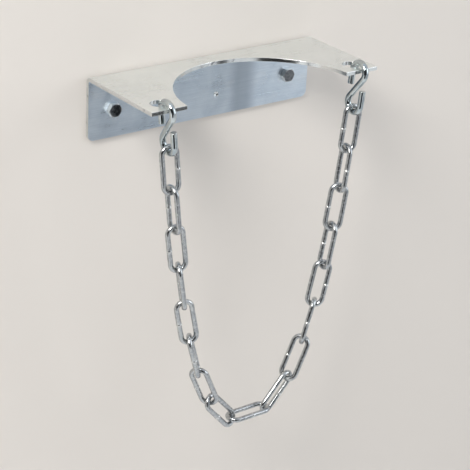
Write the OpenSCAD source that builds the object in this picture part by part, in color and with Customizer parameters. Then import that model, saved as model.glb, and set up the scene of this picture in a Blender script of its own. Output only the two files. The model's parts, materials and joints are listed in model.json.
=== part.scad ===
/* [Bracket] */
// Width of the bracket along the wall
plate_w = 205; // [195:1:240]
// Reach of the shelf from the wall to its front edge
shelf_depth = 85; // [80:1:89]
// Height of the flange against the wall
flange_h = 50; // [45:1:80]
// Thickness of the sheet steel
plate_t = 3; // [2:0.5:3.5]
// Inner radius of the bend between flange and shelf
bend_r = 1.5; // [1:0.5:3]
// Radius of the flange's two lower corners
corner_r = 5; // [2:1:10]
// Diameter of the round cut-out that the gas cylinder stands in
cradle_d = 145; // [130:1:150]
// Distance from the wall to the centre of the cut-out
cradle_y = 89.5; // [87:0.5:95]
// Diameter of the hook hole in each arm
hook_hole_d = 13.5; // [11:0.5:14]
// Width of steel left between a hook hole and the front edge
hook_bridge = 6.5; // [6:0.5:8]

/* [Fixing] */
// Distance between the two wall screws
screw_pitch = 162; // [140:1:180]
// Height of the screws below the top of the shelf, and of the origin between them
screw_drop = 28; // [22:1:34]
// Diameter of the screw holes in the flange
screw_hole_d = 7; // [6.5:0.5:8]
// Outer diameter of the screw thread
screw_d = 6; // [5:0.5:6]
// Length of the screw under its head
screw_l = 50; // [40:5:60]
// Width across the flats of the hexagon head
head_af = 10; // [9:0.5:13]
// Height of the hexagon head
head_h = 4; // [3:0.5:5]
// Diameter of the plastic wall plug
plug_d = 8; // [8:0.5:10]
// Length of the plastic wall plug
plug_l = 40; // [30:5:40]

/* [Hooks] */
// Wire diameter of the S-hooks
hook_wire = 5; // [4:0.5:5]
// Radius of both hook bends, to the middle of the wire
hook_r = 7.2; // [7.2:1.2:8.4]
// Length of the straight end beside each bend
hook_end = 11; // [6:1:14]

/* [Chain] */
// Wire diameter of the chain
link_wire = 4; // [3.5:0.25:4]
// Length of the opening in a link
link_inner = 32.4; // [30:0.2:34]
// Outer width of a link
link_w = 16; // [15:0.5:17]
// Slack between two links that hang in each other
link_play = 0.3; // [0.1:0.05:0.4]
// Diameter of the weld bead on a link
weld_d = 4.8; // [4.5:0.1:5.2]

/* [Hidden] */
$fn = 64;
bend_out = bend_r + plate_t;
// Punch mark in the flange, beside the middle.
mark_x = 13;
mark_drop = 33;
mark_d = 4;
mark_tip_d = 0.8;
mark_depth = 1.3;
hook_hole_y = shelf_depth - hook_bridge - hook_hole_d / 2;
hook_y = shelf_depth - hook_bridge / 2;
// The arms run from the cut-out to the sides, and the hooks sit in their middle.
arm_inner_x = sqrt(pow(cradle_d / 2, 2) - pow(cradle_y - shelf_depth, 2));
hook_x = (arm_inner_x + plate_w / 2) / 2;
// The top bend rests on the two upper edges of the bridge, with a little room left.
rest_room = 0.25;
hook_inner_r = hook_r - hook_wire / 2;
hook_z = rest_room - sqrt(pow(hook_inner_r, 2) - pow(hook_bridge / 2, 2));
// The S's middle stretch leans 3 across to 4 along, and runs into both bends, on opposite sides.
hook_lean = atan(3 / 4);
hook_gap = 2 * hook_r / sin(hook_lean);
hook_reach = hook_gap + hook_r;

// A link's middle line is two straight sides and two half-round crowns.
crown_r = (link_w - link_wire) / 2;
link_mid = link_inner + link_wire;
side_l = link_mid - 2 * crown_r;
links = 17;
half_links = (links - 1) / 2;
// Turn of each link about its own length, from flat against the wall.
link_twist = [-5, 90, -10, 65, -15, 55, 130, 20, 90, 165, 60, 135, 27, 97, 27, 100, 10];
// Side of each link that carries the weld.
weld_side = [-1, -1, 1, -1, 1, 1, -1, 1, 1, -1, -1, 1, 1, -1, -1, 1, -1];

// The chain hangs as a row of rigid links of equal weight. Link k counts from the
// lowest link, and its slope grows by the same step from each link to the next.
// A hook weighs about as much as two links.
function slope(k, step) = k > half_links ? atan((half_links + 1.5) * step) : atan(k * step);
// Distance from a wire's middle line to the joint, the point where two links meet. The
// more two links bend, the further each rides up the side of the other's crown.
function seat(wire, bend) =
    (wire + link_play) / 2 / cos(bend / 2) + crown_r * (1 - cos(bend));
function bend_at(k, step) = slope(k + 1, step) - slope(k, step);
// The lowest link lies flat, so its neighbours turn about its own end wires.
function seat_below(k, step) =
    k == 0 ? 0 : k == 1 ? link_wire + link_play : seat(link_wire, bend_at(k - 1, step));
function seat_above(k, step) = k == 0 ? 0 : seat(link_wire, bend_at(k, step));
function span_of(k, step) = link_mid - seat_below(k, step) - seat_above(k, step);
function joint_x(k, step) =
    k == 0 ? span_of(0, step) / 2 : joint_x(k - 1, step) + span_of(k, step) * cos(slope(k, step));
function rise(k, step) = k == 0 ? 0 : rise(k - 1, step) + span_of(k, step) * sin(slope(k, step));
// Length of a hook from its top bend's centre to the point where the chain meets it.
function hook_drop(step) =
    hook_reach - seat(hook_wire, bend_at(half_links, step));
function spare(step) =
    joint_x(half_links, step) + hook_drop(step) * cos(slope(half_links + 1, step)) - hook_x;
function solve(low, high, turns) =
    turns == 0 ? (low + high) / 2
    : let (mid = (low + high) / 2)
      spare(mid) > 0 ? solve(mid, high, turns - 1) : solve(low, mid, turns - 1);
step = solve(0.3, 4, 30);
hook_slope = slope(half_links + 1, step);
low_z = hook_z - hook_drop(step) * sin(hook_slope) - rise(half_links, step);

// Cylinder along +Y that starts at y.
module along_y(d, l, y) {
    translate([0, y, 0]) rotate([-90, 0, 0]) cylinder(d = d, h = l);
}

module at_screws(side) {
    translate([side * screw_pitch / 2, 0, 0]) children();
}

// The bracket's sheet, hooks and chain are drawn from the top of the shelf down.
module from_shelf_top() {
    translate([0, 0, screw_drop]) children();
}

// Flat outline of the flange, with rounded lower corners.
module flange_outline() {
    low = -flange_h + corner_r;
    translate([-plate_w / 2, low]) square([plate_w, -bend_out - low]);
    translate([-plate_w / 2 + corner_r, -flange_h]) square([plate_w - 2 * corner_r, corner_r]);
    for (side = [-1, 1])
        translate([side * (plate_w / 2 - corner_r), low]) circle(r = corner_r);
}

module flange() {
    difference() {
        rotate([90, 0, 0]) linear_extrude(plate_t) flange_outline();
        for (side = [-1, 1])
            translate([0, 0, -screw_drop]) at_screws(side)
                along_y(screw_hole_d, 2 * plate_t, -1.5 * plate_t);
        translate([mark_x, -plate_t, -mark_drop]) rotate([-90, 0, 0])
            cylinder(d1 = mark_d, d2 = mark_tip_d, h = mark_depth);
    }
}

module bend() {
    translate([-plate_w / 2, -bend_out, -bend_out]) rotate([90, 0, 90])
        linear_extrude(plate_w) intersection() {
            difference() {
                circle(r = bend_out);
                circle(r = bend_r);
            }
            square(bend_out);
        }
}

module shelf() {
    difference() {
        translate([-plate_w / 2, -shelf_depth, -plate_t])
            cube([plate_w, shelf_depth - bend_out, plate_t]);
        translate([0, -cradle_y, -1.5 * plate_t]) cylinder(d = cradle_d, h = 2 * plate_t, $fn = 128);
        for (side = [-1, 1])
            translate([side * hook_x, -hook_hole_y, -1.5 * plate_t])
                cylinder(d = hook_hole_d, h = 2 * plate_t);
    }
}

module bracket_plate() {
    color("lightgray") from_shelf_top() union() {
        flange();
        bend();
        shelf();
    }
}

// Hexagon head wood screw: head, plain neck, ridged thread and point.
module screw(side) {
    neck_l = 12;
    point_l = 5;
    core_d = screw_d - 1.6;
    ridge = 2.4;
    ridges = floor((screw_l - neck_l - point_l) / ridge);
    color("gray") at_screws(side) translate([0, -plate_t, 0]) {
        intersection() {
            rotate([90, 0, 0]) cylinder(d = head_af / cos(30), h = head_h, $fn = 6);
            rotate([90, 0, 0]) cylinder(d1 = head_af * 1.55, d2 = head_af * 0.98, h = head_h);
        }
        rotate([-90, 0, 0]) rotate_extrude()
            polygon(concat(
                [[0, 0], [screw_d / 2, 0], [screw_d / 2, neck_l]],
                [for (i = [0:ridges - 1], p = [[core_d, 0.1], [core_d, 0.5], [screw_d, 0.8], [screw_d, 0.9]])
                    [p[0] / 2, neck_l + (i + p[1]) * ridge]],
                [[core_d / 2, neck_l + (ridges + 0.1) * ridge], [core_d / 2, screw_l - point_l],
                    [0, screw_l]]));
    }
}

// Plastic wall plug: a ribbed sleeve that the screw spreads in the drilled hole.
module wall_plug(side) {
    sink = 3;
    slit = 1;
    color("lightslategray") at_screws(side) difference() {
        along_y(plug_d, plug_l, sink);
        along_y(screw_d + 0.1, screw_l - plate_t + 2, -1);
        translate([-slit / 2, sink + plug_l * 0.3, -plug_d])
            cube([slit, plug_l * 0.6, 2 * plug_d]);
    }
}

// Part of a wire ring in the X-Y plane, from one angle through a sweep.
module wire_arc(r, wire, from, sweep) {
    rotate([0, 0, from]) rotate_extrude(angle = sweep) translate([r, 0]) circle(d = wire, $fn = 48);
}

// Straight wire along +Y.
module wire_bar(wire, l) {
    rotate([-90, 0, 0]) cylinder(d = wire, h = l, $fn = 48);
}

// Half of the S along +Y from its middle: slant, bend to the left, straight end. The bend is
// two arcs on one ring, one from the slant and one back from the end, that overlap.
module half_hook(slant, turn) {
    wire_bar(hook_wire, slant);
    translate([-hook_r, slant, 0]) {
        wire_arc(hook_r, hook_wire, 0, 180);
        rotate([0, 0, turn]) {
            wire_arc(hook_r, hook_wire, -90, 90);
            translate([hook_r, 0, 0]) wire_bar(hook_wire, hook_end);
        }
    }
}

module s_hook(side) {
    slant = hook_r / tan(hook_lean);
    color("silver") from_shelf_top() translate([side * hook_x, -hook_y, hook_z])
        rotate([0, side * (90 - hook_slope), 0]) translate([0, 0, -hook_gap / 2])
            rotate([90, 0, 90]) rotate([0, 0, hook_lean]) mirror([1, 0, 0])
                for (half = [0, 180])
                    rotate([0, 0, half]) half_hook(slant, 180 + hook_lean);
}

// One chain link along Z with its sides on X, and its weld bead on one side.
module link(weld) {
    for (end = [0, 180])
        rotate([0, end, 0]) translate([0, 0, side_l / 2]) rotate([90, 0, 0])
            wire_arc(crown_r, link_wire, 0, 180);
    for (side = [-1, 1])
        translate([side * crown_r, 0, -side_l / 2]) cylinder(d = link_wire, h = side_l, $fn = 48);
    translate([weld * crown_r, 0, -2]) rotate_extrude()
        polygon([[0, 0], [link_wire / 2, 0], [weld_d / 2, 1.2], [weld_d / 2, 2.8], [link_wire / 2, 4], [0, 4]]);
}

// Link number n of the chain, counted from the left hook.
module chain_link(n) {
    k = abs(n - half_links - 1);
    side = n > half_links + 1 ? 1 : -1;
    lean = k == 0 ? -90 : side * (90 - slope(k, step));
    from_joint = link_mid / 2 - seat_below(k, step);
    x = k == 0 ? 0 : side * (joint_x(k - 1, step) + from_joint * cos(slope(k, step)));
    z = low_z + (k == 0 ? 0 : rise(k - 1, step) + from_joint * sin(slope(k, step)));
    // The twist is counted from the link's lower side towards the front.
    twist = side * link_twist[n - 1];
    color("darkgray") from_shelf_top() translate([x, -hook_y, z])
        rotate([0, lean, 0]) rotate([0, 0, -twist]) link(side * weld_side[n - 1]);
}

bracket_plate();
screw(-1);  // left_screw
screw(1);  // right_screw
wall_plug(-1);  // left_wall_plug
wall_plug(1);  // right_wall_plug
s_hook(-1);  // left_s_hook
s_hook(1);  // right_s_hook
for (n = [1:links])
    chain_link(n);
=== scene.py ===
import json
from math import atan, cos, pi, radians, sin, tan

import bmesh
import bpy
import numpy as np
from mathutils import Matrix, Vector
from mathutils.geometry import tessellate_polygon

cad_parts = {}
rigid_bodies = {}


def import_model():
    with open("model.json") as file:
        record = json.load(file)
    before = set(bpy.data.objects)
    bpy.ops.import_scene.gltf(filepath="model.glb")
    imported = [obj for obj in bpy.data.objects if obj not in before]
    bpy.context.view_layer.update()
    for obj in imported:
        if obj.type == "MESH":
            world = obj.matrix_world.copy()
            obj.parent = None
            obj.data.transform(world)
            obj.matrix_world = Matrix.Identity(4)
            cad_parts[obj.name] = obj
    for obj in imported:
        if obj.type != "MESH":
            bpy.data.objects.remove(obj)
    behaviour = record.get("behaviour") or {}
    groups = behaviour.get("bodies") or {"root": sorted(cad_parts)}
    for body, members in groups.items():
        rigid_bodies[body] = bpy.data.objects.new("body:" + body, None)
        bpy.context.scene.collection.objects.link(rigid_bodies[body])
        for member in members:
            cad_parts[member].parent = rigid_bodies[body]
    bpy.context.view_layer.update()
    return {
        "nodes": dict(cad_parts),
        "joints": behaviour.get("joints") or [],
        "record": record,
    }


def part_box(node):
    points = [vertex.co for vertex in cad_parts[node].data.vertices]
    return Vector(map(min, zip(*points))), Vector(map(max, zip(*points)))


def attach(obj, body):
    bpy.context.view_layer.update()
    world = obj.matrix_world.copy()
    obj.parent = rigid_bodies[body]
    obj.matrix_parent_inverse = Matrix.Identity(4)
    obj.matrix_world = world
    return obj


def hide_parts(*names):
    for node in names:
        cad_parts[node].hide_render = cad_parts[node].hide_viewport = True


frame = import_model()

MM = 0.001
joint_at = {j["child"]: Vector(j["pos_m"]) for j in frame["joints"]}
body_of = {n: b for b, nodes in frame["record"]["behaviour"]["bodies"].items() for n in nodes}


# ---------------------------------------------------------------- camera
CAMERA_AT = Vector((-719.19, -984.98, 439.24)) * MM
AZIMUTH, ELEVATION, ROLL = radians(37.66), radians(24.66), radians(3.07)
SENSOR = 36.0
FOCAL = 129.27


def make_camera():
    forward = Vector((sin(AZIMUTH) * cos(ELEVATION), cos(AZIMUTH) * cos(ELEVATION), -sin(ELEVATION)))
    right = Vector((cos(AZIMUTH), -sin(AZIMUTH), 0))
    up = right.cross(forward)
    x = right * cos(ROLL) + up * sin(ROLL)
    y = up * cos(ROLL) - right * sin(ROLL)
    data = bpy.data.cameras.new("camera")
    data.sensor_width, data.lens = SENSOR, FOCAL
    data.clip_start, data.clip_end = 0.05, 50
    camera = bpy.data.objects.new("camera", data)
    camera.matrix_world = Matrix.Translation(CAMERA_AT) @ Matrix((x, y, -forward)).transposed().to_4x4()
    bpy.context.scene.collection.objects.link(camera)
    bpy.context.scene.camera = camera


# ---------------------------------------------------------------- node trees
class Shader:
    """A material's node tree. Each method adds one node and returns its output."""

    def __init__(self, name, **constants):
        self.material = bpy.data.materials.new(name)
        self.material.use_nodes = True
        self.tree = self.material.node_tree
        self.bsdf = self.tree.nodes["Principled BSDF"]
        for socket, value in constants.items():
            self.bsdf.inputs[socket.replace("_", " ")].default_value = value
        self.place = self.add("ShaderNodeTexCoord").outputs["Object"]

    def add(self, kind, inputs=None, **properties):
        node = self.tree.nodes.new(kind)
        for key, value in properties.items():
            setattr(node, key, value)
        for key, value in (inputs or {}).items():
            self.put(node.inputs[key], value)
        return node

    def put(self, socket, value):
        if isinstance(value, bpy.types.NodeSocket):
            self.tree.links.new(value, socket)
        else:
            socket.default_value = value

    def set(self, **outputs):
        for socket, value in outputs.items():
            self.put(self.bsdf.inputs[socket.replace("_", " ")], value)
        return self.material

    def stretched(self, scale, turn=(0, 0, 0)):
        """Object coordinates times scale per metre, turned first. Small scales stretch a pattern."""
        turned = self.add("ShaderNodeMapping", {"Vector": self.place, "Rotation": turn}).outputs[0]
        return self.add("ShaderNodeMapping", {"Vector": turned, "Scale": scale}).outputs[0]

    def noise(self, scale, detail=3.0, rough=0.5, where=None, warp=0.0):
        return self.add("ShaderNodeTexNoise", {
            "Vector": where or self.place, "Scale": scale, "Detail": detail,
            "Roughness": rough, "Distortion": warp}).outputs["Fac"]

    def math(self, operation, a, b=0.0, clamp=False):
        return self.add("ShaderNodeMath", {0: a, 1: b}, operation=operation, use_clamp=clamp).outputs[0]

    def span(self, value, low, high, to_low=0.0, to_high=1.0):
        """value moved from low..high to to_low..to_high, smoothly, and held there outside."""
        return self.add("ShaderNodeMapRange", {
            "Value": value, "From Min": low, "From Max": high, "To Min": to_low, "To Max": to_high},
            interpolation_type="SMOOTHSTEP").outputs["Result"]

    def mix(self, factor, a, b, blend="MIX"):
        node = self.add("ShaderNodeMix", data_type="RGBA", blend_type=blend)
        self.put(node.inputs["Factor"], factor)
        self.put(node.inputs["A"], a if isinstance(a, bpy.types.NodeSocket) else (*a, 1))
        self.put(node.inputs["B"], b if isinstance(b, bpy.types.NodeSocket) else (*b, 1))
        return node.outputs["Result"]

    def mask(self, name):
        return self.add("ShaderNodeAttribute", attribute_name=name).outputs["Fac"]

    def bump(self, height, depth, below=None):
        """Bump of a depth in metres, on top of another bump."""
        node = self.add("ShaderNodeBump", {"Height": height, "Distance": depth, "Strength": 1.0})
        if below:
            self.put(node.inputs["Normal"], below)
        return node.outputs["Normal"]


# X of the middle of the soft dark stripe painted on the flange: a painted reflection.
PAINTED_REFLECTION_X = 38


def sheet_material(screws_at, shelf_top):
    """Zinc plated sheet: rolled lines along X, cloudy patches, fine scratches, specks and screw
    scuffs, with painted light: a paler top, and one soft dark stripe of painted reflection on the flange."""
    s = Shader("zinc_sheet", Metallic=1.0)
    clouds = s.noise(38, 5, 0.55, warp=0.6)
    patches = s.noise(95, 4, 0.6, s.stretched((0.6, 1, 1)))
    rolled = s.noise(1, 3, 0.6, s.stretched((35, 1900, 1900)))
    hair = s.noise(1, 2, 0.5, s.stretched((160, 4200, 4200), (0, radians(9), 0)))
    scratch = s.math("MULTIPLY", s.span(hair, 0.68, 0.74), s.span(patches, 0.45, 0.62))
    steep = s.noise(1, 2, 0.5, s.stretched((110, 3000, 3000), (0, radians(-52), radians(14))))
    scratch = s.math("MAXIMUM", scratch, s.math(
        "MULTIPLY", s.span(steep, 0.70, 0.75), s.span(s.noise(60, 2), 0.52, 0.66)))
    specks = s.span(s.noise(900, 2, 0.6), 0.70, 0.78)
    scuffs = None
    for at in screws_at:
        near = s.add("ShaderNodeVectorMath", {0: s.place, 1: at}, operation="DISTANCE").outputs["Value"]
        ring = s.math("MULTIPLY", s.span(near, 5.6 * MM, 6.4 * MM), s.span(near, 12 * MM, 7 * MM))
        scuffs = ring if scuffs is None else s.math("MAXIMUM", scuffs, ring)
    streak = s.noise(1, 2, 0.5, s.stretched((260, 260, 2400), (0, radians(35), 0)))
    scratch = s.math("MAXIMUM", scratch, s.math("MULTIPLY", scuffs, s.span(streak, 0.6, 0.68)))
    xyz = s.add("ShaderNodeSeparateXYZ", {"Vector": s.place}).outputs
    # The top gets a paler colour by height: painted light on the top.
    painted_top_light = s.span(xyz["Z"], shelf_top - 2.5 * MM, shelf_top - 0.2 * MM)
    colour = s.mix(s.span(clouds, 0.32, 0.68), (0.57, 0.65, 0.73), (0.70, 0.77, 0.83))
    colour = s.mix(s.span(patches, 0.55, 0.75, 0, 0.5), colour, (0.72, 0.76, 0.79))
    colour = s.mix(s.span(rolled, 0.3, 0.7, 0, 0.30), colour, (0.40, 0.47, 0.55))
    # Colour of the painted light on the top.
    pale = s.mix(s.span(clouds, 0.3, 0.7), (0.82, 0.85, 0.845), (0.88, 0.905, 0.895))
    # A soft dark vertical stripe on the flange, painted into the base colour: a painted dark reflection.
    off_painted_reflection = s.math("ABSOLUTE", s.math("SUBTRACT", xyz["X"], PAINTED_REFLECTION_X * MM))
    painted_reflection = s.span(off_painted_reflection, 3 * MM, 17 * MM, 0.62, 0)
    colour = s.mix(painted_reflection, colour, (0.24, 0.28, 0.33))
    colour = s.mix(painted_top_light, colour, pale)
    colour = s.mix(s.math("MULTIPLY", specks, 0.4), colour, (0.22, 0.22, 0.22))
    colour = s.mix(s.math("MULTIPLY", scratch, 0.5), colour, (0.86, 0.87, 0.87))
    rough = s.math("ADD", s.span(clouds, 0.3, 0.7, 0.28, 0.34), s.span(rolled, 0.3, 0.7, -0.03, 0.05))
    rough = s.math("SUBTRACT", rough, s.math("MULTIPLY", scratch, 0.08))
    normal = s.bump(rolled, 0.010 * MM)
    normal = s.bump(clouds, 0.05 * MM, normal)
    normal = s.bump(scratch, -0.02 * MM, normal)
    return s.set(Base_Color=colour, Roughness=rough, Normal=normal)


def cut_material():
    """Sheared and punched edges: bright, with fine drag lines along Z and a few dark blots."""
    s = Shader("cut_edge", Metallic=1.0)
    drag = s.noise(1, 3, 0.6, s.stretched((5200, 5200, 300)))
    blot = s.noise(150, 4, 0.6)
    colour = s.mix(s.span(drag, 0.3, 0.7), (0.66, 0.68, 0.68), (0.80, 0.82, 0.81))
    colour = s.mix(s.span(blot, 0.60, 0.70, 0, 0.75), colour, (0.13, 0.135, 0.145))
    rough = s.span(drag, 0.3, 0.7, 0.13, 0.21)
    normal = s.bump(drag, 0.008 * MM)
    return s.set(Base_Color=colour, Roughness=rough, Normal=s.bump(blot, 0.02 * MM, normal))


def hook_material():
    """Bright zinc on drawn wire: glossy, faintly green, a little wavy. The cut ends are matt."""
    s = Shader("bright_hook", Metallic=1.0)
    cut = s.mask("cut")
    tint = s.noise(140, 3)
    fine = s.noise(1500, 3, 0.6)
    colour = s.mix(s.span(tint, 0.35, 0.65), (0.42, 0.47, 0.49), (0.60, 0.645, 0.65))
    colour = s.mix(s.span(fine, 0.62, 0.74, 0, 0.5), colour, (0.36, 0.37, 0.37))
    colour = s.mix(cut, colour, (0.50, 0.51, 0.50))
    rough = s.math("ADD", s.span(tint, 0.3, 0.7, 0.07, 0.13), s.math("MULTIPLY", cut, 0.22))
    normal = s.bump(s.noise(260, 2), 0.12 * MM)
    return s.set(Base_Color=colour, Roughness=rough, Normal=s.bump(fine, 0.012 * MM, normal))


def chain_material():
    """Galvanised chain wire: grained zinc, rubbed where the links hang in each other, bright weld."""
    s = Shader("galvanised_link", Metallic=1.0)
    weld, wear = s.mask("weld"), s.mask("wear")
    grain = s.noise(1700, 4, 0.65)
    mottle = s.noise(420, 4, 0.6)
    stain = s.noise(90, 3)
    colour = s.mix(s.span(mottle, 0.35, 0.65), (0.36, 0.375, 0.39), (0.50, 0.515, 0.52))
    colour = s.mix(s.span(stain, 0.45, 0.7, 0, 0.35), colour, (0.60, 0.62, 0.61))
    colour = s.mix(s.span(grain, 0.60, 0.72, 0, 0.35), colour, (0.20, 0.20, 0.205))
    colour = s.mix(s.math("MULTIPLY", weld, 0.75), colour, (0.80, 0.80, 0.78))
    colour = s.mix(s.math("MULTIPLY", wear, 0.6), colour, (0.78, 0.79, 0.80))
    rough = s.math("ADD", s.span(mottle, 0.3, 0.7, 0.17, 0.27), s.span(grain, 0.4, 0.7, 0, 0.05))
    rough = s.math("SUBTRACT", rough, s.math("MULTIPLY", wear, 0.10))
    normal = s.bump(mottle, 0.05 * MM)
    return s.set(Base_Color=colour, Roughness=rough, Normal=s.bump(grain, 0.02 * MM, normal))


def screw_material():
    """Dark polished zinc, painted bright on the flats and edges of the head as a painted highlight, and
    rubbed bright on the crests of the thread.
    """
    s = Shader("screw_zinc", Metallic=1.0)
    painted_glint_and_wear = s.mask("painted_glint_and_wear")
    fine = s.noise(1300, 3, 0.6)
    cloud = s.noise(500, 3)
    colour = s.mix(s.span(cloud, 0.35, 0.65), (0.10, 0.105, 0.115), (0.19, 0.195, 0.20))
    # Bright where the mask is: painted highlight on the head, real wear on the thread's crests.
    colour = s.mix(painted_glint_and_wear, colour, (0.93, 0.94, 0.93))
    rough = s.math("ADD", s.span(cloud, 0.3, 0.7, 0.14, 0.22), s.span(fine, 0.4, 0.7, 0, 0.05))
    rough = s.math("ADD", rough, s.math("MULTIPLY", painted_glint_and_wear, 0.38))
    return s.set(Base_Color=colour, Roughness=rough, Normal=s.bump(fine, 0.015 * MM))


def plug_material():
    """Moulded nylon: slightly mottled, with a fine orange-peel surface."""
    s = Shader("plug_nylon", Specular_IOR_Level=0.45)
    cloud = s.noise(220, 3)
    fine = s.noise(2200, 3, 0.6)
    colour = s.mix(s.span(cloud, 0.35, 0.65), (0.33, 0.345, 0.36), (0.40, 0.415, 0.43))
    rough = s.span(fine, 0.35, 0.65, 0.42, 0.55)
    return s.set(Base_Color=colour, Roughness=rough, Normal=s.bump(fine, 0.03 * MM))


# ---------------------------------------------------------------- meshes
def new_object(name, vertices, faces, masks=None, smooth=True):
    mesh = bpy.data.meshes.new(name)
    mesh.from_pydata([tuple(v) for v in vertices], [], faces)
    mesh.validate()
    for key, values in (masks or {}).items():
        mask = mesh.attributes.new(key, "FLOAT", "POINT")
        mask.data.foreach_set("value", np.asarray(values, np.float32))
    mesh.polygons.foreach_set("use_smooth", [smooth] * len(mesh.polygons))
    mesh.update()
    piece = bpy.data.objects.new(name, mesh)
    bpy.context.scene.collection.objects.link(piece)
    return piece


def grid_faces(rows, columns, wrap_rows=False, start=0):
    """Quads of a grid whose columns close on themselves."""
    faces = []
    for i in range(rows if wrap_rows else rows - 1):
        for j in range(columns):
            a, b = i * columns + j, i * columns + (j + 1) % columns
            c, d = ((i + 1) % rows) * columns + (j + 1) % columns, ((i + 1) % rows) * columns + j
            faces.append((a + start, b + start, c + start, d + start))
    return faces


def stand_in(piece, node, material):
    """piece takes the place of a CAD node, on that node's body."""
    if not piece.data.materials:
        piece.data.materials.append(material)
    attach(piece, body_of[node])
    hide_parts(node)


def planar_tube(path, out, normal, radius, sides, closed):
    """Rings of vertices along a flat path. out is the in-plane direction across the path at each
    station, normal the plane's own. radius is one number for each station and side."""
    angle = np.arange(sides) * 2 * pi / sides
    ring = out[:, None, :] * np.cos(angle)[None, :, None] + normal * np.sin(angle)[None, :, None]
    vertices = path[:, None, :] + ring * radius[:, :, None]
    vertices = vertices.reshape(-1, 3)
    faces = grid_faces(len(path), sides, closed)
    return vertices, faces


def arc(centre, radius, start, sweep, step):
    """Stations on an arc in the plane: points and outward directions."""
    count = max(2, int(round(abs(sweep) * radius / step)))
    a = start + np.linspace(0, sweep, count + 1)
    direction = np.stack([np.cos(a), np.sin(a)], 1)
    return centre + radius * direction, direction * np.sign(sweep)


# ---- chain links: wire radius, crown radius and half of a straight side
WIRE = 2.0
CROWN = 6.0
HALF_SIDE = 12.2
# Height of the weld ring and of the upset round it, and depth of the two thinnings
WELD_RING = 0.25
WELD_UPSET = 0.08
HANG_WEAR = 0.09
BEND_THIN = 0.05
# The visual wire lies this far inside the CAD's, and wavers by as much.
INSIDE = 0.012
# Distance from the weld of a station on the far side
FAR = 99


def link_axes(node):
    """Centre of a CAD link, its long direction, and its cross direction towards the weld."""
    mesh = frame["nodes"][node].data
    points = np.empty(len(mesh.vertices) * 3)
    mesh.vertices.foreach_get("co", points)
    points = np.unique(np.round(points.reshape(-1, 3) / MM, 4), axis=0)
    centred = points - points.mean(0)
    across, side, along = np.linalg.eigh(centred.T @ centred)[1].T
    a = centred @ along
    plain = np.abs(a) > HALF_SIDE / 2
    centre = points.mean(0)
    for axis in (along, side, across):
        reach = centred[plain] @ axis
        centre = centre + axis * (reach.max() + reach.min()) / 2
    middle = np.abs((points - centre) @ along) < 1
    reach = (points[middle] - centre) @ side
    if -reach.min() > reach.max():
        side = -side
    return centre, along, side


def racetrack():
    """Middle line of a link from its weld round and back: distance from the weld, the point, the
    outward direction and how far round a crown it is."""
    near = np.concatenate([
        np.arange(0, 1.2, 0.12), np.arange(1.2, 3.2, 0.25), np.arange(3.2, HALF_SIDE, 0.8)])
    crown = np.linspace(0, pi, 31)
    long = np.linspace(HALF_SIDE, -HALF_SIDE, 28)
    rows = [(v, CROWN, v, 1, 0, 0) for v in near]
    rows += [(HALF_SIDE + CROWN * a, CROWN * cos(a), HALF_SIDE + CROWN * sin(a), cos(a), sin(a), sin(a))
             for a in crown]
    rows += [(FAR, -CROWN, v, -1, 0, 0) for v in long[1:-1]]
    rows += [(FAR, -CROWN * cos(a), -HALF_SIDE - CROWN * sin(a), -cos(a), -sin(a), sin(a))
             for a in crown]
    rows += [(-v, CROWN, -v, 1, 0, 0) for v in near[:0:-1]]
    return np.array(rows)


def link_piece(node, material, rng):
    centre, along, side = link_axes(node)
    normal = np.cross(side, along)
    rows = racetrack()
    from_weld, s, d, out_s, out_d, bend = rows.T
    sides = 28
    angle = np.arange(sides) * 2 * pi / sides
    outward = np.cos(angle)[None, :]
    # The weld is a thin raised ring on a stretch that the welding upset a little.
    uneven = 1 + 0.22 * np.sin(2 * angle + rng.uniform(0, 2 * pi))
    uneven = uneven + 0.12 * np.sin(5 * angle + rng.uniform(0, 2 * pi))
    shift = 0.18 * np.sin(angle + rng.uniform(0, 2 * pi))
    ring = np.exp(-(((from_weld[:, None] - shift[None, :]) / 0.42) ** 2)) * uneven[None, :]
    upset = np.exp(-((from_weld[:, None] / 2.0) ** 2))
    # Bending thins the wire outside each crown, and hanging wears it inside.
    worn = np.clip(bend[:, None], 0, 1) ** 6 * np.clip(-outward, 0, 1) ** 3
    thin = np.clip(bend[:, None], 0, 1) * np.clip(outward, 0, 1) ** 2
    wobble = INSIDE * np.sin(s * 0.9 + rng.uniform(0, 6))[:, None]
    wobble = wobble * np.cos(2 * angle + rng.uniform(0, 6))[None, :]
    radius = WIRE + WELD_RING * ring + WELD_UPSET * upset - HANG_WEAR * worn - BEND_THIN * thin
    radius = radius + wobble - INSIDE
    path = (centre + s[:, None] * side + d[:, None] * along) * MM
    out = out_s[:, None] * side + out_d[:, None] * along
    vertices, faces = planar_tube(path, out, normal, radius * MM, sides, True)
    masks = {"weld": np.clip(ring + 0.35 * upset, 0, 1).ravel(), "wear": (worn + 0 * ring).ravel()}
    piece = new_object(node + "_welded", vertices, [f[::-1] for f in faces], masks)
    stand_in(piece, node, material)


# ---- S-hooks: wire radius, bend radius, straight end and lean of the middle stretch
HOOK_WIRE = 2.5
HOOK_R = 7.2
HOOK_END = 11.0
HOOK_LEAN = atan(3 / 4)


def hook_line():
    """Middle line of the S from its middle to one end, the middle stretch running up: points and
    the direction across the line, always on the same hand."""
    slant = HOOK_R / tan(HOOK_LEAN)
    step = 0.45
    v = np.arange(0, slant, step)
    points = [np.stack([0 * v, v], 1)]
    across = [np.tile((1.0, 0.0), (len(v), 1))]
    turn = pi + HOOK_LEAN
    p, n = arc(np.array((-HOOK_R, slant)), HOOK_R, 0, turn, step)
    points.append(p)
    across.append(n)
    onward = np.array((-sin(turn), cos(turn)))
    last = [HOOK_END - 0.4, HOOK_END - 0.22, HOOK_END - 0.08, HOOK_END]
    v = np.concatenate([np.arange(step, HOOK_END - 0.6, step), last])
    points.append(p[-1] + v[:, None] * onward)
    across.append(np.tile(n[-1], (len(v), 1)))
    return np.concatenate(points), np.concatenate(across)


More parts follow.
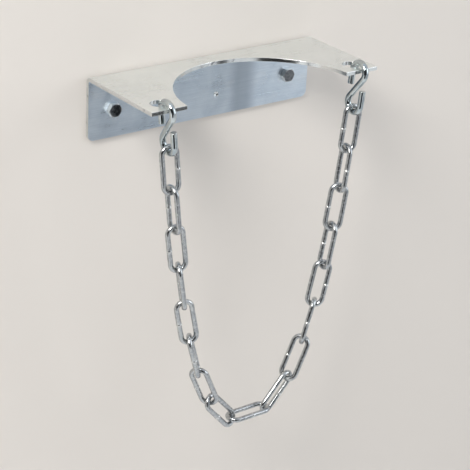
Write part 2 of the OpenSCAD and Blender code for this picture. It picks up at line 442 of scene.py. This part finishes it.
def hook_piece(node, material):
    """S of round wire in a plane square to the wall, from the hook hole towards the first link,
    with chamfered ends."""
    body = body_of[node]
    top = np.array(joint_at[body]) / MM
    first = next(j for j in frame["joints"] if j["parent"] == body)
    down = np.array(first["pos_m"]) / MM - top
    down /= np.linalg.norm(down)
    wall = np.array((0.0, 1.0, 0.0))
    half, across = hook_line()
    line = np.concatenate([-half[:0:-1], half])
    hand = np.concatenate([across[:0:-1], across])
    line[:, 0] *= -1
    hand[:, 0] *= -1
    c, s = cos(HOOK_LEAN), sin(HOOK_LEAN)
    turned = np.array([[c, s], [-s, c]])
    line, hand = line @ turned, hand @ turned
    gap = 2 * HOOK_R / sin(HOOK_LEAN)
    middle = top + down * gap / 2
    path = middle + line[:, :1] * wall - line[:, 1:] * down
    out = hand[:, :1] * wall - hand[:, 1:] * down
    sides = 36
    end = np.minimum(np.arange(len(line)), np.arange(len(line))[::-1])
    chamfer = {0: 0.34, 1: 0.15, 2: 0.04}
    radius = np.array([HOOK_WIRE - 0.01 - chamfer.get(int(i), 0) for i in end])[:, None] * np.ones(sides)
    vertices, faces = planar_tube(path * MM, out, np.cross(wall, -down), radius * MM, sides, False)
    vertices = np.concatenate([vertices, path[:1] * MM, path[-1:] * MM])
    count = len(path) * sides
    for j in range(sides):
        k = (j + 1) % sides
        faces.append((k, j, count))
        faces.append((count - sides + j, count - sides + k, count + 1))
    cut = np.concatenate([np.repeat(end <= 1, sides), [True, True]]).astype(float)
    piece = new_object(node + "_bent_wire", vertices, faces, {"cut": cut})
    stand_in(piece, node, material)


# ---- bracket plate
# ---- bracket plate
PLATE_T = 3.0
BEND_R = 1.5
PLATE_W = 205.0
SHELF_DEPTH = 85.0
CORNER_R = 5.0
CRADLE_R = 72.5
CRADLE_Y = 89.5
HOOK_HOLE_R = 6.75
HOOK_BRIDGE = 6.5
SCREW_HOLE_R = 3.5
# Punch mark: its X and Z, and the ball that leaves it, whose centre lies off the sheet
MARK_X, MARK_Z = 13, -5
MARK_BALL_R = 2.6
MARK_BALL_OFF = 1.3
EDGE_WEAR = 0.3
# How far cutters reach past the sheet on either side
REACH_IN, REACH_OUT = 9, 6


def prism(name, outline, low, high, place):
    """Closed solid from a flat outline, drawn between two heights. place turns (u, v, height) to a
    point in millimetres."""
    count = len(outline)
    vertices = [Vector(place(u, v, h)) * MM for h in (low, high) for u, v in outline]
    faces = [tuple(range(count))[::-1], tuple(range(count, 2 * count))]
    faces += [(i, (i + 1) % count, (i + 1) % count + count, i + count) for i in range(count)]
    piece = new_object(name, vertices, faces, smooth=False)
    work = bmesh.new()
    work.from_mesh(piece.data)
    bmesh.ops.recalc_face_normals(work, faces=work.faces)
    work.to_mesh(piece.data)
    work.free()
    return piece


def circle(u, v, radius, count):
    turns = [2 * pi * i / count for i in range(count)]
    return [(u + radius * cos(a), v + radius * sin(a)) for a in turns]


def quarter(u, v, radius, start, sweep, count=12):
    return [(u + radius * cos(start + sweep * i / count), v + radius * sin(start + sweep * i / count))
            for i in range(count + 1)]


def apply_modifiers(piece):
    graph = bpy.context.evaluated_depsgraph_get()
    mesh = bpy.data.meshes.new_from_object(piece.evaluated_get(graph))
    piece.modifiers.clear()
    piece.data = mesh


def clean(piece, distance=0.006 * MM):
    """Merge the slivers that booleans and bevels leave."""
    work = bmesh.new()
    work.from_mesh(piece.data)
    bmesh.ops.remove_doubles(work, verts=work.verts, dist=distance)
    bmesh.ops.dissolve_degenerate(work, edges=work.edges, dist=distance)
    work.to_mesh(piece.data)
    work.free()


def carve(piece, cutters, operation="DIFFERENCE"):
    for cutter in cutters:
        cut = piece.modifiers.new("carve", "BOOLEAN")
        cut.operation, cut.object, cut.solver = operation, cutter, "EXACT"
    apply_modifiers(piece)
    for cutter in cutters:
        bpy.data.objects.remove(cutter)
    clean(piece)


def on_sheet(centre, normal, top):
    """Is this face one of the sheet's two rolled surfaces, and not a cut edge?"""
    y, z = centre.y / MM, centre.z / MM
    near = 0.02
    if abs(normal.z) > 0.99 and min(abs(z - top), abs(z - top + PLATE_T)) < near:
        return True
    if abs(normal.y) > 0.99 and min(abs(y), abs(y + PLATE_T)) < near:
        return True
    reach = Vector((y + BEND_R + PLATE_T, z - top + BEND_R + PLATE_T)).length
    in_bend = y > -BEND_R - PLATE_T and z > top - BEND_R - PLATE_T
    off_bend = min(abs(reach - BEND_R), abs(reach - BEND_R - PLATE_T))
    return in_bend and abs(normal.x) < 0.5 and off_bend < 0.1


def plate_piece(node, sheet, edge, screws_at, hooks_at):
    low, high = (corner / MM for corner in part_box(node))
    top, bottom = high.z, low.z
    outer = BEND_R + PLATE_T
    profile = [(0, bottom)] + quarter(-outer, top - outer, outer, 0, pi / 2)
    profile += [(-SHELF_DEPTH, top), (-SHELF_DEPTH, top - PLATE_T)]
    profile += quarter(-outer, top - outer, BEND_R, pi / 2, -pi / 2, 8) + [(-PLATE_T, bottom)]
    piece = prism("bracket_plate_bent", profile, -PLATE_W / 2, PLATE_W / 2, lambda u, v, h: (h, u, v))
    flat = lambda u, v, h: (u, v, h)
    upright = lambda u, v, h: (u, h, v)
    through = (top - REACH_IN, top + REACH_OUT, flat)
    cutters = [prism("cradle", circle(0, -CRADLE_Y, CRADLE_R, 256), *through)]
    hole_y = -(SHELF_DEPTH - HOOK_BRIDGE - HOOK_HOLE_R)
    cutters += [prism("hole", circle(at.x / MM, hole_y, HOOK_HOLE_R, 72), *through) for at in hooks_at]
    through = (-REACH_IN, REACH_OUT, upright)
    cutters += [prism("hole", circle(at.x / MM, at.z / MM, SCREW_HOLE_R, 48), *through)
                for at in screws_at]
    for side in (-1, 1):
        x = side * (PLATE_W / 2 - CORNER_R)
        corner = quarter(x, bottom + CORNER_R, CORNER_R, 0 if side > 0 else pi, -side * pi / 2)
        away = side * (PLATE_W / 2 + 5)
        outline = corner + [(x, bottom - 5), (away, bottom - 5), (away, bottom + CORNER_R)]
        cutters.append(prism("corner", outline, *through))
    carve(piece, cutters)
    bpy.ops.mesh.primitive_uv_sphere_add(
        segments=40, ring_count=24, radius=MARK_BALL_R * MM,
        location=(MARK_X * MM, (-PLATE_T - MARK_BALL_OFF) * MM, MARK_Z * MM))
    carve(piece, [bpy.context.object])
    piece.data.materials.clear()
    piece.data.materials.append(sheet)
    piece.data.materials.append(edge)
    for face in piece.data.polygons:
        face.material_index = 0 if on_sheet(face.center, face.normal, top) else 1
        face.use_smooth = True
    bevel = piece.modifiers.new("worn_edges", "BEVEL")
    bevel.width, bevel.segments = EDGE_WEAR * MM, 3
    bevel.limit_method, bevel.angle_limit = "ANGLE", radians(35)
    bevel.harden_normals = True
    bevel.use_clamp_overlap = False
    apply_modifiers(piece)
    clean(piece)
    stand_in(piece, node, sheet)


# ---- screws
HEAD_AF = 10.0
HEAD_H = 4.0
HEAD_CHAMFER = radians(28)
HEAD_DISH = 0.12
SCREW_R = 3.0
SCREW_L = 50.0
NECK_L = 12.0
PITCH = 2.4


def screw_piece(node, material):
    """Head and shank as one surface of rings: over the head's face, down its flats, under it, and
    along the neck, the helical thread and the point."""
    low, high = (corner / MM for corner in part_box(node))
    axis_x, axis_z, seat = (low.x + high.x) / 2, (low.z + high.z) / 2, low.y + HEAD_H
    columns = 120
    theta = np.arange(columns) * 2 * pi / columns
    # Corners stand at plus and minus X.
    hexagon = HEAD_AF / 2 / np.cos(theta % (pi / 3) - pi / 6)
    face_r = HEAD_AF * 0.492
    rings, painted_glint_and_wear, one = [], [], np.ones(columns)

    # worn is the bright share: painted highlight on the head, wear on the thread's crests.
    def ring(radius, y, worn):
        rings.append(np.stack([radius * np.cos(theta), one * y, radius * np.sin(theta)], 1))
        painted_glint_and_wear.append(one * worn)

    for share in (0.25, 0.5, 0.75, 0.95):
        ring(one * face_r * share, seat - HEAD_H + HEAD_DISH * (1 - share**2), 0)
    # The face's rim, the chamfer, the flats and the head's lower edge are painted bright: a painted
    # highlight.
    ring(one * face_r, seat - HEAD_H, 0.4)
    for share in (0.15, 0.5, 0.85, 1.0):
        r = face_r + (hexagon - face_r) * share
        ring(r, seat - HEAD_H + (r - face_r) * tan(HEAD_CHAMFER), 0.25 + 0.5 * (share == 1))
    edge_y = seat - HEAD_H + (hexagon - face_r) * tan(HEAD_CHAMFER)
    ring(hexagon, edge_y + 0.12, 0.9)
    for share in (0.3, 0.6, 0.9):
        ring(hexagon, edge_y + (seat - edge_y) * share, 0.9)
    ring(hexagon - 0.05, seat - 0.05, 0.5)
    ring(hexagon - 0.25, seat, 0)
    ring(one * (SCREW_R + 0.3), seat, 0)
    ring(one * SCREW_R, seat + 0.3, 0)
    thread_start, point_start = NECK_L, SCREW_L - 6
    for y in (2, 5, 8, NECK_L - 0.6):
        ring(one * SCREW_R, seat + y, 0)
    core = SCREW_R - 0.85
    for y in np.arange(thread_start, SCREW_L - 0.3, PITCH / 12):
        fade = min(1, (y - thread_start) / 3)
        tip = max(0, (y - point_start) / (SCREW_L - point_start))
        phase = (y / PITCH - theta / (2 * pi)) % 1
        crest = np.clip(1 - np.abs(phase - 0.5) / 0.24, 0, 1) ** 0.8
        root = SCREW_R - 0.05 - (SCREW_R - 0.05 - core) * min(1, fade * 1.5)
        base = root * (1 - tip) ** 0.7 + 0.12 * tip
        crest_r = (SCREW_R - 0.03 - root) * (1 - tip) + 0.35 * tip * (1 - tip) * 4 * 0.5
        ring(base + crest * np.maximum(crest_r, 0), seat + y, crest * 0.6)
    ring(one * 0.04, seat + SCREW_L - 0.05, 0)
    rings = np.array(rings)
    rings[:, :, 0] += axis_x
    rings[:, :, 2] += axis_z
    vertices = rings.reshape(-1, 3) * MM
    count = len(vertices)
    ends = np.array([(axis_x, seat - HEAD_H + HEAD_DISH, axis_z), (axis_x, seat + SCREW_L, axis_z)]) * MM
    vertices = np.concatenate([vertices, ends])
    faces = [f[::-1] for f in grid_faces(len(rings), columns)]
    for j in range(columns):
        k = (j + 1) % columns
        faces.append((j, k, count))
        faces.append((count - columns + k, count - columns + j, count + 1))
    masks = {"painted_glint_and_wear": np.concatenate([np.array(painted_glint_and_wear).ravel(), [0, 0]])}
    piece = new_object(node + "_turned", vertices, faces, masks)
    piece.data.set_sharp_from_angle(angle=radians(24))
    stand_in(piece, node, material)


# ---- wall plugs
PLUG_R = 4.0
PLUG_L = 40.0
TOOTH = 2.3
TOOTH_H = 0.34
SLIT = 0.46


def plug_piece(node, material):
    """Ribbed sleeve with a collar and two slits."""
    low, high = (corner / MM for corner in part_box(node))
    axis_x, axis_z, start = (low.x + high.x) / 2, (low.z + high.z) / 2, low.y
    columns = 72
    theta = np.arange(columns) * 2 * pi / columns
    rings, one = [], np.ones(columns)

    def ring(radius, y):
        rings.append(np.stack([radius * np.cos(theta), one * y, radius * np.sin(theta)], 1))

    bore = SCREW_R + 0.06
    for radius, y in ((bore, 0.25), (bore + 0.2, 0), (PLUG_R - 0.3, 0), (PLUG_R, 0.3),
                      (PLUG_R, 2.2), (PLUG_R - 0.25, 2.6)):
        ring(one * radius, y)
    for y in np.arange(4, PLUG_L - 2.2, TOOTH / 6):
        phase = ((y - 4) / TOOTH) % 1
        rib = TOOTH_H * (1 - phase)
        fins = 0.12 * np.clip(np.cos(4 * theta), 0, 1) ** 4
        ring(np.minimum(PLUG_R, PLUG_R - TOOTH_H + rib + fins) * one, y)
    for radius, y in ((PLUG_R - 0.45, PLUG_L - 2), (PLUG_R - 0.8, PLUG_L - 0.3), (PLUG_R - 0.93, PLUG_L)):
        ring(one * radius, y)
    for y in np.linspace(PLUG_L, 0.6, 8):
        ring(one * bore, y)
    rings = np.array(rings)
    rings[:, :, 0] += axis_x
    rings[:, :, 1] += start
    rings[:, :, 2] += axis_z
    faces = grid_faces(len(rings), columns, True)
    piece = new_object(node + "_ribbed", rings.reshape(-1, 3) * MM, [f[::-1] for f in faces])
    near, far = PLUG_L * 0.3, PLUG_L * 0.9
    slit = [(-SLIT, near), (SLIT, near), (SLIT, far), (-SLIT, far)]
    cutter = prism("slit", slit, -8, 8, lambda u, v, h: (u + axis_x, v + start, h + axis_z))
    # Flat faces only, or the cut leaves slivers.
    piece.modifiers.new("split", "TRIANGULATE")
    carve(piece, [cutter])
    for face in piece.data.polygons:
        face.use_smooth = True
    piece.data.set_sharp_from_angle(angle=radians(32))
    piece.data.materials.clear()
    stand_in(piece, node, material)


# ---------------------------------------------------------------- stage and light
FLOOR_Z = -0.55
# Direction of the room's dark side.
DARK_SECTOR = Vector((-0.70, -0.70, 0.15)).normalized()


def stage_plane(name, size, location, rotation, material):
    bpy.ops.mesh.primitive_plane_add(size=1, location=location, rotation=rotation)
    plane = bpy.context.object
    plane.name = name
    plane.scale = (*size, 1)
    plane.data.materials.append(material)
    return plane


def backdrop(material):
    """Wall behind the object, open behind the flange so that the flange's back sees the room."""
    low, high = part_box("bracket_plate")
    inset, r = 0.2 * MM, CORNER_R * MM
    left, right, bottom, top = low.x + inset, high.x - inset, low.z + inset, high.z - r
    hole = [(left, top), (right, top)]
    hole += quarter(right - r, bottom + r, r, 0, -pi / 2)
    hole += quarter(left + r, bottom + r, r, -pi / 2, -pi / 2)
    outline = [(-4, FLOOR_Z), (4, FLOOR_Z), (4, 4.5), (-4, 4.5)]
    loops = [[Vector((x, 0.2 * MM, z)) for x, z in loop] for loop in (outline, hole)]
    vertices = loops[0] + loops[1]
    faces = []
    for face in tessellate_polygon(loops):
        a, b, c = (vertices[i] for i in face)
        faces.append(face if (b - a).cross(c - a).y < 0 else face[::-1])
    wall = new_object("backdrop", vertices, faces, smooth=False)
    wall.data.materials.append(material)


def plain_material(name, colour, roughness=0.9, one_sided=False):
    s = Shader(name, Roughness=roughness, Specular_IOR_Level=0.1)
    s.bsdf.inputs["Base Color"].default_value = (*colour, 1)
    if one_sided:
        back = s.add("ShaderNodeNewGeometry").outputs["Backfacing"]
        clear = s.add("ShaderNodeBsdfTransparent").outputs[0]
        mixed = s.add("ShaderNodeMixShader", {0: back, 1: s.bsdf.outputs[0], 2: clear}).outputs[0]
        s.tree.links.new(mixed, s.tree.nodes["Material Output"].inputs["Surface"])
    return s.material


def area_light(name, location, target, size, power, colour=(1, 1, 1)):
    data = bpy.data.lights.new(name, "AREA")
    data.shape, data.size, data.size_y = "RECTANGLE", size[0], size[1]
    data.energy, data.color = power, colour
    light = bpy.data.objects.new(name, data)
    light.location = location
    light.rotation_euler = (Vector(target) - Vector(location)).to_track_quat("-Z", "Y").to_euler()
    bpy.context.scene.collection.objects.link(light)


def studio_world():
    """Even pale light from everywhere except a dark sector in front of the wall."""
    world = bpy.data.worlds.new("studio")
    world.use_nodes = True
    tree = world.node_tree
    towards = tree.nodes.new("ShaderNodeTexCoord").outputs["Generated"]
    along = tree.nodes.new("ShaderNodeVectorMath")
    along.operation = "DOT_PRODUCT"
    along.inputs[1].default_value = DARK_SECTOR
    tree.links.new(towards, along.inputs[0])
    level = tree.nodes.new("ShaderNodeMapRange")
    level.interpolation_type = "SMOOTHSTEP"
    for key, value in (("From Min", 0.50), ("From Max", 0.82), ("To Min", 0.86), ("To Max", 0.04)):
        level.inputs[key].default_value = value
    tree.links.new(along.outputs["Value"], level.inputs["Value"])
    background = tree.nodes["Background"]
    background.inputs["Color"].default_value = (0.90, 0.94, 1.0, 1)
    # The camera itself sees an even background.
    seen = tree.nodes.new("ShaderNodeMix")
    tree.links.new(tree.nodes.new("ShaderNodeLightPath").outputs["Is Camera Ray"], seen.inputs["Factor"])
    tree.links.new(level.outputs["Result"], seen.inputs["A"])
    seen.inputs["B"].default_value = 0.80
    tree.links.new(seen.outputs["Result"], background.inputs["Strength"])
    bpy.context.scene.world = world


def make_stage():
    wall = plain_material("backdrop_wall", (0.71, 0.665, 0.615), one_sided=True)
    backdrop(wall)
    floor = plain_material("floor_paint", (0.72, 0.735, 0.75))
    stage_plane("floor", (8, 8), (0, 0, FLOOR_Z), (0, 0, 0), floor)
    dark = plain_material("flag_cloth", (0.02, 0.02, 0.02))
    # Two dark cards that only reflections see: one for the sheet, one for wire seen from above.
    for name, size, at in (("flag_right", (0.22, 0.5), (0.40, -0.80, -0.42)),
                           ("flag_low", (0.80, 0.75), (-0.56, -0.72, -0.42))):
        facing = (-Vector(at)).to_track_quat("Z", "Y").to_euler()
        flag = stage_plane(name, size, at, facing, dark)
        for ray in ("camera", "diffuse", "shadow", "transmission", "volume_scatter"):
            setattr(flag, "visible_" + ray, False)
    studio_world()
    area_light("key", (-1.6, -0.95, 1.5), (0, -0.03, -0.05), (0.8, 0.8), 50, (1.0, 0.985, 0.96))
    area_light("fill", (1.5, -1.3, 0.5), (0, -0.03, -0.05), (0.7, 1.2), 8, (0.92, 0.96, 1.0))
    bpy.context.scene.view_settings.view_transform = "Standard"


# ---------------------------------------------------------------- the scene
make_camera()
make_stage()
rng = np.random.default_rng(7)
screw_nodes = ("left_screw", "right_screw")
hook_nodes = ("left_s_hook", "right_s_hook")
screws_at = [(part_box(n)[0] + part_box(n)[1]) / 2 for n in screw_nodes]
for at in screws_at:
    at.y = -PLATE_T * MM
hooks_at = [joint_at[body_of[n]] for n in hook_nodes]
zinc = sheet_material(screws_at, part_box("bracket_plate")[1].z)
plate_piece("bracket_plate", zinc, cut_material(), screws_at, hooks_at)
metal = screw_material()
for node in screw_nodes:
    screw_piece(node, metal)
nylon = plug_material()
for node in ("left_wall_plug", "right_wall_plug"):
    plug_piece(node, nylon)
wire = hook_material()
for node in hook_nodes:
    hook_piece(node, wire)
links = chain_material()
for node in sorted(n for n in frame["nodes"] if n.startswith("link_")):
    link_piece(node, links, rng)
